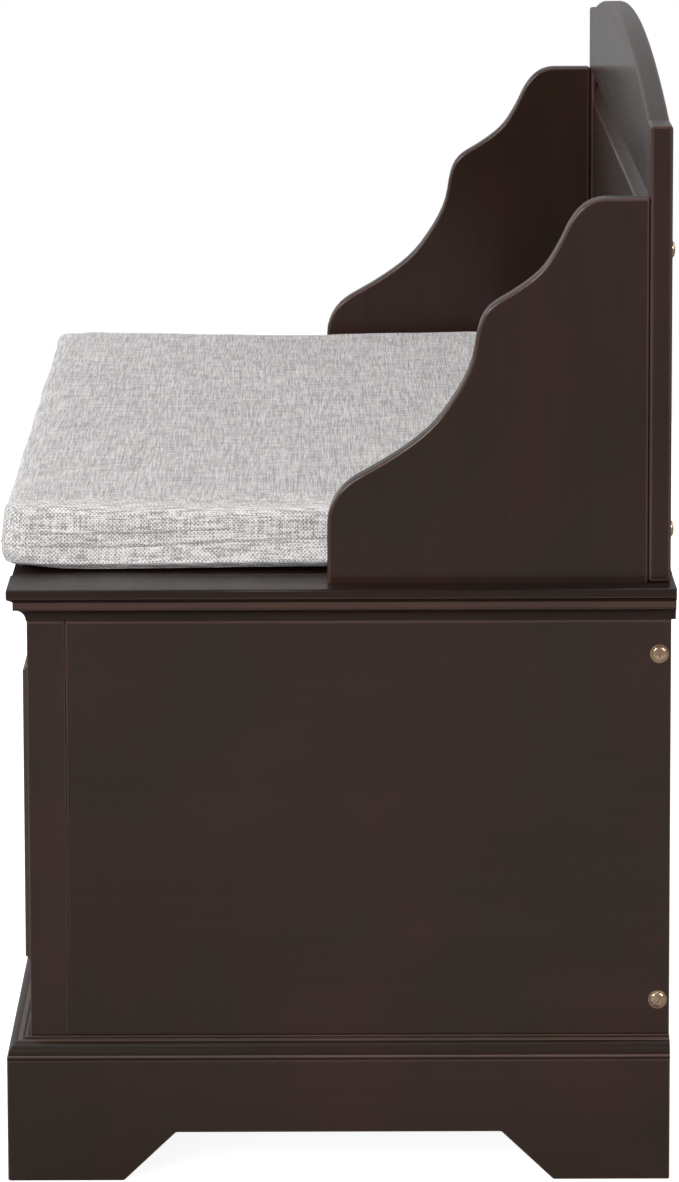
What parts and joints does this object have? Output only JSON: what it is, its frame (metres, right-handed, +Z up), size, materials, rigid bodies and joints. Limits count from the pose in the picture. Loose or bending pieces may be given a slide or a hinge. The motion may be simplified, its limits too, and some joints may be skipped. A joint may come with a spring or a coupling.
{
  "type": "storage bench",
  "caption": "Panelled storage bench with a hinged lid under a loose cushion, ogee-shaped arms, arched panelled backrest and bracket-foot plinth.",
  "frame": {"origin": "on the floor, below the middle of the bench's outer box", "axes": "+Z up, +X along the bench's length to its right-hand end as a sitter would face out, -Y out of the front, +Y to the backrest"},
  "size_m": [1.1, 0.463, 0.7615],
  "materials": {
    "espresso_wood": "dark brown stain under satin lacquer",
    "inner_wood": "thin dark stain, nearly matt",
    "antique_brass": "antique brass plating, satin",
    "plated_steel": "zinc plated",
    "linen_cover": "plain-weave linen look, pale grey melange",
    "fastening_tape": "hook-and-loop tape"
  },
  "bodies": {
    "case": {"plinth_side_left": "espresso_wood", "plinth_side_right": "espresso_wood", "plinth_front": "espresso_wood", "base_moulding_left": "espresso_wood", "base_moulding_right": "espresso_wood", "base_moulding_front": "espresso_wood", "foot_block_front_left": "inner_wood", "foot_block_front_right": "inner_wood", "foot_block_rear_left": "inner_wood", "foot_block_rear_right": "inner_wood", "side_panel_left": "espresso_wood", "side_panel_right": "espresso_wood", "front_post_left": "espresso_wood", "front_post_right": "espresso_wood", "front_top_rail": "espresso_wood", "front_bottom_rail": "espresso_wood", "mid_stile_left": "espresso_wood", "mid_stile_right": "espresso_wood", "front_panel_left": "espresso_wood", "front_panel_middle": "espresso_wood", "front_panel_right": "espresso_wood", "rear_panel": "inner_wood", "bottom_panel": "inner_wood", "cleat_front": "inner_wood", "cleat_rear": "inner_wood", "cleat_left": "inner_wood", "cleat_right": "inner_wood", "seat_bearer_left": "inner_wood", "seat_bearer_right": "inner_wood", "seat_bearer_rear": "inner_wood", "seat_strip_left": "espresso_wood", "seat_strip_right": "espresso_wood", "seat_strip_rear": "espresso_wood", "cove_left": "espresso_wood", "cove_right": "espresso_wood", "cove_front": "espresso_wood", "arm_left": "espresso_wood", "arm_right": "espresso_wood", "back_stile_left": "espresso_wood", "back_stile_right": "espresso_wood", "back_crest_rail": "espresso_wood", "back_bottom_rail": "espresso_wood", "back_panel": "espresso_wood", "side_bolts": "antique_brass", "back_bolts": "antique_brass", "bolt_inserts": "plated_steel", "hinge_fixed_leaves": "antique_brass", "hinge_pins": "plated_steel", "hinge_fixed_screws": "antique_brass", "arm_screws": "plated_steel", "back_dowels": "inner_wood"},
    "lid": {"lid_board": "espresso_wood", "lid_batten_left": "inner_wood", "lid_batten_middle": "inner_wood", "lid_batten_right": "inner_wood", "hinge_lid_leaves": "antique_brass", "hinge_lid_screws": "antique_brass", "cushion_tapes": "fastening_tape", "cushion": "linen_cover"}
  },
  "joints": [
    {"name": "lid_hinge", "type": "hinge", "parent": "case", "child": "lid", "pos_m": [0, 0.156, 0.4135], "axis": [-1, 0, 0], "range_deg": [0, 90]}
  ]
}
